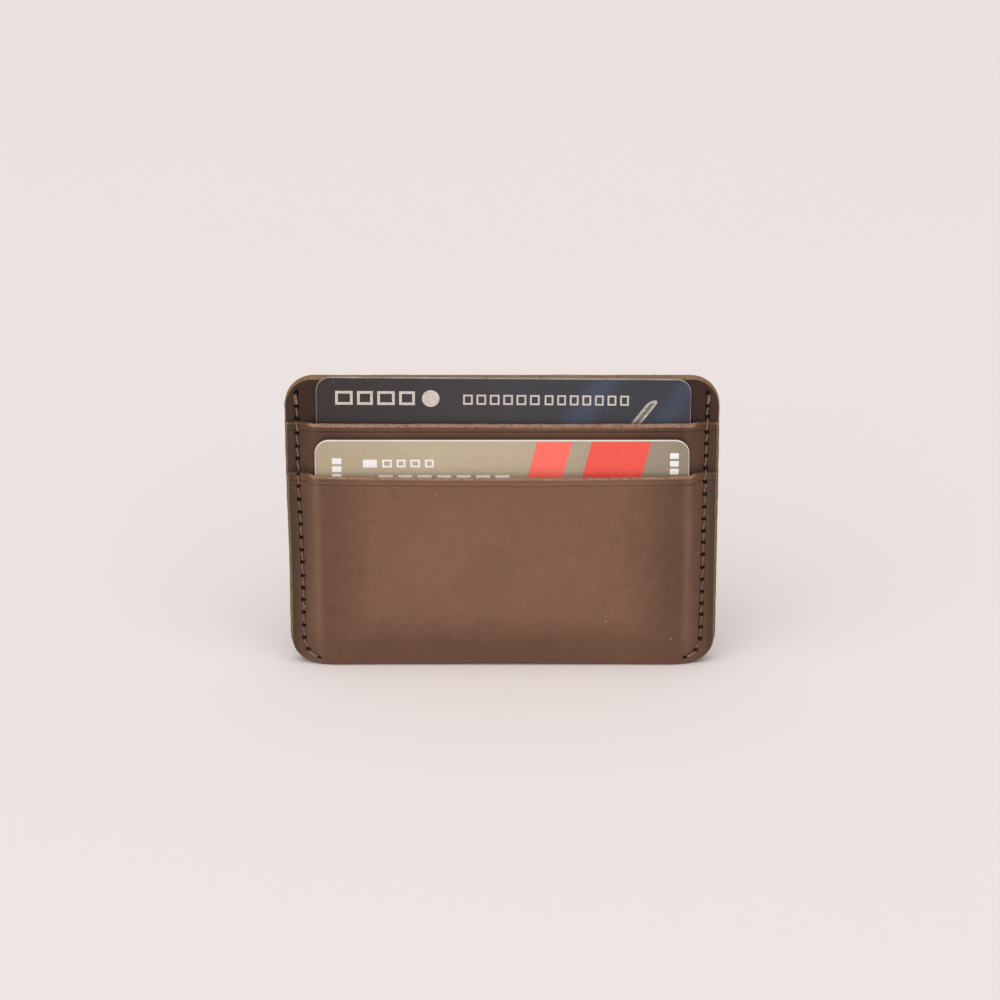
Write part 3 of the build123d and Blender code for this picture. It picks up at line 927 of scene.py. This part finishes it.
def seam_thread(name, side, way):
    """One thread of a side seam, with its first and last stitches sewn twice, side by side."""
    holes = HOLES[side]
    last = len(holes) - 1
    order = [1, 0, *range(last + 1), last, last - 1]
    beside = np.zeros((len(order), 2))
    beside[:2] = (side * 0.34, 0)
    beside[-2:] = (side * 0.28, -0.2)
    surface = stack_front if way > 0 else flat_back
    return thread_piece(name, holes[order] + beside, surface, way, 0.42 * side, 3)


def floor_thread(name, way):
    """One thread of the hidden seam that closes the upper card's pocket."""
    low, high = box_mm(name)
    x = np.linspace(low[0] + half_stitch, high[0] - half_stitch, floor_count)
    holes = np.stack([x, np.full(floor_count, floor_seam)], axis=-1)
    start = (2 + way) * leather - 0.2 * way
    return thread_piece(name, holes, lambda x, z: start + 0 * z, way, 0.12)


def mouth_fibres(name, mouth, stack, rise, count, seed):
    """Loose fibres on a cut mouth: thin tapered stalks that start on the edge and curl up and over."""
    draw = np.random.default_rng(seed)
    x = draw.uniform(-fibre_half, fibre_half, count)
    keep_right = draw.random(count) < 0.45 + 0.55 * smooth((x + 20) / 50)
    x = x[keep_right]
    count = len(x)
    sag = 0.13 * arch(x, foot)
    through = draw.uniform(0.1, 0.95, count)
    depth = stack + rise(x, np.full(count, mouth)) - leather * through
    root = in_space(leaned(x, mouth + 0 * x), depth, mouth - sag - 0.1)
    length = draw.gamma(3.0, 0.075, count).clip(0.1, 0.6)
    spreads = ((0, 0.8), (-0.25, 0.55), (0.55, 0.3))
    lean = np.stack([draw.normal(*spread, count) for spread in spreads], axis=-1)
    lean[:, 2] = np.abs(lean[:, 2])
    curl = draw.normal(0, 0.35, (count, 3)) * (1, 1, 0.4)
    step = np.linspace(0, 1, 5)[None, :, None]
    line = root[:, None] + (unit(lean)[:, None] * step + curl[:, None] * step**2) * length[:, None, None]
    angle = np.linspace(0, 2 * math.pi, 4, endpoint=False)
    ring = np.stack([np.cos(angle), np.sin(angle), 0 * angle], axis=-1)
    thick = fibre_radius * (1 - 0.8 * step[..., None])
    points = (line[:, :, None] + ring[None, None] * thick).reshape(-1, 3)
    one = grid_quads(5, 4, wrap=True, turned=True)
    quads = (one[None] + (np.arange(count) * 20)[:, None, None]).reshape(-1, 4)
    ends = [[k * 20 + i for i in (3, 2, 1, 0)] for k in range(count)]
    tips = [[k * 20 + i for i in (16, 17, 18, 19)] for k in range(count)]
    return put_piece(name, "wallet", [], points, quads.tolist() + ends + tips, FIBRES)


# -------- cards

# The standard card and its contact plate, stripe and signing panel, from its left and top edges.
CARD_WIDTH, CARD_HEIGHT, CARD_CORNER = 85.6, 53.98, 3.18
CARD_THICKNESS, FILM = 0.76, 0.06
CHIP_WIDE, CHIP_HIGH, CHIP_CORNER, CHIP_THICK = 13.0, 11.8, 1.6, 0.25
CHIP_LEFT, CHIP_TOP = 15.06, 23.89
STRIPE_TOP, STRIPE_HIGH = 4.2, 12.7
SIGN_WIDE, SIGN_HIGH, SIGN_SIDE, SIGN_GAP = 58.0, 10.0, 6.0, 2.6
half_w, half_h = CARD_WIDTH / 2, CARD_HEIGHT / 2


class CardPlace:
    """Carries (across, up, out) in millimetres on a card into the wallet's frame."""

    def __init__(self, body, turn):
        self.body = body
        self.centre = sum(box_mm(f"{body}_core")) / 2
        joint = next(j for j in frame["joints"] if j["child"] == body)
        slide = unit(np.array(joint["axis"], float))
        right = np.array([1.0, 0.0, 0.0])
        angle = math.radians(turn)
        self.right = right * math.cos(angle) - slide * math.sin(angle)
        self.up = slide * math.cos(angle) + right * math.sin(angle)
        self.out = np.array([0.0, -slide[2], slide[1]])

    def __call__(self, across, up, out):
        across, up, out = (v[..., None] for v in np.broadcast_arrays(across, up, out))
        return self.centre + across * self.right + up * self.up + (out - CARD_THICKNESS / 2) * self.out


def rounded_outline(half_wide, half_high, radius, steps=10):
    """Points (across, up) anticlockwise round a rectangle with round corners."""
    signs = np.repeat([(1, -1), (1, 1), (-1, 1), (-1, -1)], steps, axis=0)
    angle = (np.linspace(0, math.pi / 2, steps) + (np.arange(4)[:, None] - 1) * math.pi / 2).ravel()
    arc = radius * np.stack([np.cos(angle), np.sin(angle)], axis=-1)
    return signs * (half_wide - radius, half_high - radius) + arc


def put_plate(place, piece, node, centre, size, radius, low, high, bevel, material, slot):
    """A thin plate with a rounded outline: its edge profile, carried round the outline, and two caps."""
    steps = bevel * np.array([0.0, 0.3, 1.0])
    profile = [*zip(steps[::-1], low + steps), *zip(steps, high - steps[::-1])]
    rings = []
    for inset, out in profile:
        ring = rounded_outline(size[0] / 2 - inset, size[1] / 2 - inset, max(radius - inset, 0.02))
        rings.append(np.concatenate([ring + centre, np.full((len(ring), 1), out)], axis=-1))
    flat = np.stack(rings)
    points = place(*np.moveaxis(flat, -1, 0)).reshape(-1, 3)
    uv = flat[..., :2].reshape(-1, 2) / (CARD_WIDTH, CARD_HEIGHT) + 0.5
    faces = tube_faces(points, *flat.shape[:2])
    name, nodes = f"{place.body}_{piece}", [f"{place.body}_{node}"]
    return put_piece(name, place.body, nodes, points, faces, material, uv=uv, flat=True)


def chip_piece(place):
    """The contact plate: a flat height over (across, up) with eight pads parted by narrow grooves."""
    share, up = np.meshgrid(np.linspace(-1, 1, 105), np.linspace(CHIP_HIGH / 2, -CHIP_HIGH / 2, 95))
    from_middle = np.abs(share) * CHIP_WIDE / 2
    in_column = 10 * (from_middle < 2.6)
    grooves = [np.abs(from_middle - 2.6), np.abs(np.abs(up) - 2.9) + in_column, np.abs(up) + in_column]
    gap = smooth((0.17 - np.minimum.reduce(grooves)) / 0.08)
    squeeze = np.clip(np.abs(up) - (CHIP_HIGH / 2 - CHIP_CORNER), 0, CHIP_CORNER)
    across = share * (CHIP_WIDE / 2 - CHIP_CORNER + np.sqrt(CHIP_CORNER**2 - squeeze**2))
    across, up = across + CHIP_LEFT - half_w, up + half_h - CHIP_TOP
    outs = [CARD_THICKNESS + 0.015 - 0.03 * gap, CARD_THICKNESS - CHIP_THICK]
    points = np.concatenate([place(across, up, out).reshape(-1, 3) for out in outs])
    rows, cols = gap.shape
    loop = grid_border(rows, cols)
    after = np.roll(loop, -1)
    side = np.stack([loop, after, after + rows * cols, loop + rows * cols], axis=-1)
    faces = outward(points, np.concatenate([both_faces(rows, cols), side]))
    marks = {"gap": np.concatenate([gap.ravel(), 0 * gap.ravel()])}
    name, node = f"{place.body}_chip_contacts", f"{place.body}_chip"
    return put_piece(name, place.body, [node], points, faces, GOLD, marks)


def printed_shapes(kind, place, shapes, material, over=0.012):
    """Marks printed on a card, given a thin body of ink.

    Each is a convex outline of points (across, up) from the card's top left corner, so up is negative.
    """
    blocks, faces, start = [], [], 0
    for shape in shapes:
        shape = np.array(shape) + (-half_w, half_h)
        outs = np.repeat([CARD_THICKNESS - 0.02, CARD_THICKNESS + over], len(shape))
        block = place(*np.tile(shape.T, 2), outs)
        faces.extend([start + v for v in face] for face in tube_faces(block, 2, len(shape)))
        blocks.append(block)
        start += len(block)
    name, slot = f"{place.body}_{kind}", f"{place.body}_print"
    return put_piece(name, place.body, [], np.concatenate(blocks), faces, material, flat=True)


def bar(left, right, low, high, radius=0.35, lean=0.0):
    """A rounded bar's outline, leaning to the right by lean for each unit of height."""
    ring = rounded_outline((right - left) / 2, (high - low) / 2, radius, 5)
    ring = ring + ((left + right) / 2, (low + high) / 2)
    ring[:, 0] += lean * (ring[:, 1] - (low + high) / 2)
    return ring


def card_pieces(body, turn, core, front, back):
    """The body, films, chip, stripe and signature panel of one card."""
    place = CardPlace(body, turn)
    full = (CARD_WIDTH, CARD_HEIGHT)
    film = (CARD_WIDTH - 0.24, CARD_HEIGHT - 0.24)
    stripe_up = half_h - STRIPE_TOP - STRIPE_HIGH / 2
    sign_at = (half_w - SIGN_SIDE - SIGN_WIDE / 2, stripe_up - STRIPE_HIGH / 2 - SIGN_GAP - SIGN_HIGH / 2)
    top = CARD_THICKNESS
    over, under = (top - 2 * FILM, top, 0.02), (0.0, 2 * FILM, 0.02)
    sunk = (-0.012, 0.05, 0.008)
    thin = CARD_CORNER - 0.12
    band = (CARD_WIDTH - 0.26, STRIPE_HIGH)
    sign = (SIGN_WIDE, SIGN_HIGH)
    for piece, node, centre, size, radius, levels, material, slot in (
        ("core_plate", "core", (0, 0), full, CARD_CORNER, (FILM / 2, top - FILM / 2, 0.1), core, "card_core"),
        ("front_print", "front_film", (0, 0), film, thin, over, front, f"{body}_print"),
        ("back_print", "back_film", (0, 0), film, thin, under, back, f"{body}_back"),
        ("stripe_band", "magnetic_stripe", (0, stripe_up), band, 0.05, sunk, STRIPE, "stripe"),
        ("signature_strip", "signature_panel", sign_at, sign, 0.4, sunk, SIGNING, "signature"),
    ):
        put_plate(place, piece, node, centre, size, radius, *levels, material, slot)
    chip_piece(place)
    return place


def open_boxes(left, widths, gap, low, high, stroke):
    """A row of empty boxes: each is two uprights and two cross strokes."""
    shapes = []
    for wide in widths:
        right = left + wide
        shapes += [bar(left, left + stroke, low, high, 0.02), bar(right - stroke, right, low, high, 0.02)]
        inside = (left + stroke, right - stroke)
        shapes += [bar(*inside, low, low + stroke, 0.02), bar(*inside, high - stroke, high, 0.02)]
        left = right + gap
    return shapes


def bar_column(left, right, low, high, count=5, pitch=1.9):
    """Bars under each other."""
    return [bar(left, right, low - k * pitch, high - k * pitch, 0.2) for k in range(count)]


def slanted_band(left, right, lean=-0.25, margin=0.3):
    """A band down the whole card that moves by lean for each unit down."""
    fall = (CARD_HEIGHT - 2 * margin) * lean
    low = margin - CARD_HEIGHT
    return [(left, -margin), (left + fall, low), (right + fall, low), (right, -margin)]


def upper_card():
    """Slate and navy, with rows of open boxes, a disc and a slanted silver bar in place of print."""
    back = back_print("upper_back_print", (0.05, 0.055, 0.07), (0.075, 0.08, 0.1))
    card = card_pieces("upper_card", 0.4, GREY_CORE, NAVY, back)
    pale_ink = ink("pale_ink", (0.5, 0.46, 0.42), (0.66, 0.61, 0.55))
    marks = open_boxes(4.4, (4.0, 3.6, 4.0, 3.6), 1.0, -6.5, -3.2, 0.62)
    marks += [rounded_outline(2.0, 2.0, 1.99, 8) + (26.2, -4.9)]
    marks += open_boxes(33.6, (2.2,) * 6, 0.85, -6.3, -3.9, 0.4)
    marks += open_boxes(52.2, (2.0,) * 7, 0.87, -6.3, -3.9, 0.4)
    printed_shapes("marks", card, marks, pale_ink)
    silver = ink("silver_foil", (0.36, 0.34, 0.31), (0.6, 0.58, 0.54), 0.25, 0.6)
    grey_foil = ink("grey_foil", (0.13, 0.125, 0.115), (0.24, 0.23, 0.21), 0.3, 0.5)
    printed_shapes("foil_bar", card, [bar(72.4, 74.7, -15.0, -5.0, 1.1, 0.75)], silver)
    printed_shapes("foil_middle", card, [bar(73.1, 74.0, -14.6, -5.6, 0.42, 0.75)], grey_foil, 0.016)


def lower_card():
    """Champagne, with two coral bands, rows of open boxes and a column of bars at each side."""
    back = back_print("lower_back_print", (0.5, 0.46, 0.4), (0.6, 0.56, 0.5))
    card = card_pieces("lower_card", 0.0, WHITE_CORE, CHAMPAGNE, back)
    coral = ink("coral_ink", (0.97, 0.15, 0.11), (0.99, 0.175, 0.13), 0.32)
    deep_coral = ink("deep_coral_ink", (0.86, 0.085, 0.06), (0.92, 0.1, 0.07), 0.32)
    white_ink = ink("white_ink", (0.84, 0.83, 0.8), (0.93, 0.92, 0.9))
    printed_shapes("coral_band", card, [slanted_band(half_w + 8.0, half_w + 16.0)], coral)
    printed_shapes("deep_band", card, [slanted_band(half_w + 20.5, half_w + 34.0)], deep_coral)
    marks = open_boxes(15.4, (2.2, 2.0, 2.2, 2.0), 1.13, -6.5, -4.6, 0.42)
    marks += open_boxes(14.6, (3.2,) * 7, 1.25, -13.0, -8.4, 0.75)
    marks += bar_column(3.9, 6.1, -5.7, -4.3)
    marks += bar_column(CARD_WIDTH - 4.4, CARD_WIDTH - 2.4, -4.4, -3.0)
    marks += [[(11.0, -6.5), (14.2, -6.5), (14.2, -4.6), (11.0, -4.6)]]
    printed_shapes("light_marks", card, marks, white_ink)


# -------- the wallet

upper_card()
lower_card()
outer_wrap_piece()
middle_pocket_piece()
divider_piece()
for kind, way in (("needle", 1), ("bobbin", -1)):
    seam_thread(f"left_seam_{kind}_thread", -1, way)
    seam_thread(f"right_seam_{kind}_thread", 1, way)
    floor_thread(f"floor_seam_{kind}_thread", way)
mouth_fibres("middle_mouth_fibres", middle_mouth, 3 * leather, middle_rise, 1300, 31)
mouth_fibres("front_mouth_fibres", front_mouth, 4 * leather, front_rise, 700, 32)


# -------- floor, light and camera


def studio():
    """A wide pale floor, a pale surround, a soft key light and one broad light from above the front."""
    ground = bpy.data.meshes.new("ground")
    reach = 6.0
    corners = [(-reach, -reach, 0), (reach, -reach, 0), (reach, reach, 0), (-reach, reach, 0)]
    ground.from_pydata(corners, [], [range(4)])
    ground.materials.append(pale_ground())
    linked("ground", ground)
    world = bpy.data.worlds.new("surround")
    bpy.context.scene.world = world
    world.use_nodes = True
    sky = world.node_tree.nodes["Background"]
    sky.inputs["Color"].default_value = (0.93, 0.88, 0.87, 1.0)
    sky.inputs["Strength"].default_value = 0.5
    key = bpy.data.lights.new("key_light", "AREA")
    key.size, key.energy, key.color = 0.7, 1.0, (1.0, 0.985, 0.96)
    lamp = linked("key_light", key)
    lamp.location = (-0.3, -0.8, 0.9)
    aim = Vector((0, 0, height * MM / 2)) - lamp.location
    lamp.rotation_euler = aim.to_track_quat("-Z", "Y").to_euler()
    sun = bpy.data.lights.new("broad_light", "SUN")
    sun.energy = 1.88
    sun.angle = math.radians(100)
    linked("broad_light", sun).rotation_euler = (math.radians(38), 0, math.radians(-8))


def camera():
    """A long lens looking down at the front, with the wallet a little under the middle of the view."""
    elevation = math.radians(19.4)
    distance = 0.9
    aim = Vector((-0.00046, 0.0, height * MM / 2 + 0.0057))
    back = Vector((0, -math.cos(elevation), math.sin(elevation)))
    data = bpy.data.cameras.new("camera")
    data.sensor_width = 36.0
    data.lens = 140.9
    data.clip_start, data.clip_end = 0.05, 30.0
    eye = linked("camera", data)
    eye.location = aim + back * distance
    eye.rotation_euler = (-back).to_track_quat("-Z", "Y").to_euler()
    bpy.context.scene.camera = eye


studio()
camera()
bpy.context.scene.view_settings.view_transform = "Standard"
